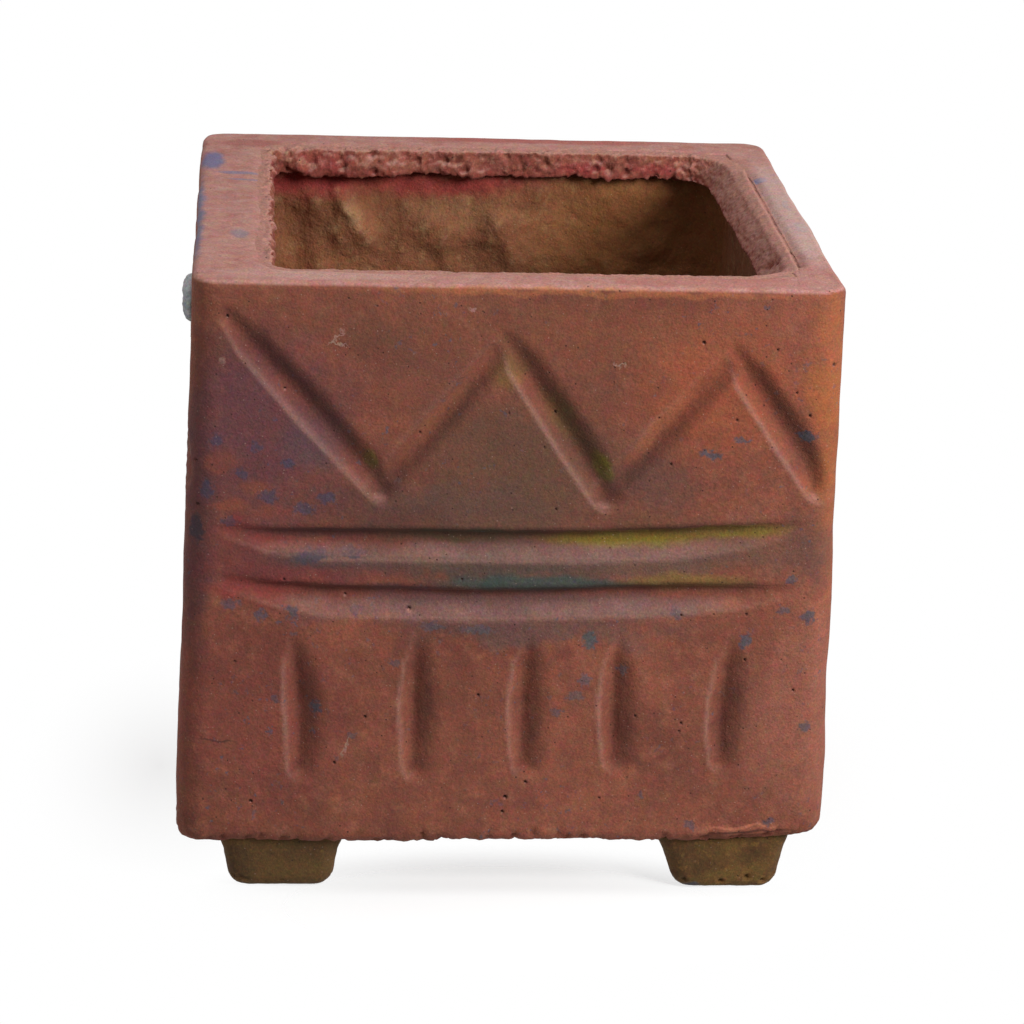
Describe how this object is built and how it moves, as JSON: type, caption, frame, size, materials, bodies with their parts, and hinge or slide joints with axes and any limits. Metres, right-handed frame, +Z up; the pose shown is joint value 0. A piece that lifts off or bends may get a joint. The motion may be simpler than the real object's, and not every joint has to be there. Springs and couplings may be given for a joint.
{
  "type": "square flower pot",
  "caption": "Square hand-cast cement planter on short feet, with a pressed zigzag, bow and finger-mark pattern, an open mouth with a rough collar, and a drain hole",
  "frame": {"origin": "on the floor, under the middle of the pot's square plan", "axes": "+Z up out of the mouth, the front face of the picture looks along -Y, +X to the right"},
  "size_m": [0.207, 0.207, 0.2017],
  "materials": {
    "red_cement": "matte",
    "rough_red_cement": "matte",
    "buff_mortar": "matte",
    "foot_mortar": "matte",
    "grey_mortar": "matte"
  },
  "bodies": {
    "root": {"face_coat": "red_cement", "mouth_collar": "rough_red_cement", "wall_lining": "buff_mortar", "base_slab": "buff_mortar", "foot_front_left": "foot_mortar", "foot_front_right": "foot_mortar", "foot_back_left": "foot_mortar", "foot_back_right": "foot_mortar", "mortar_spill": "grey_mortar"}
  },
  "joints": []
}
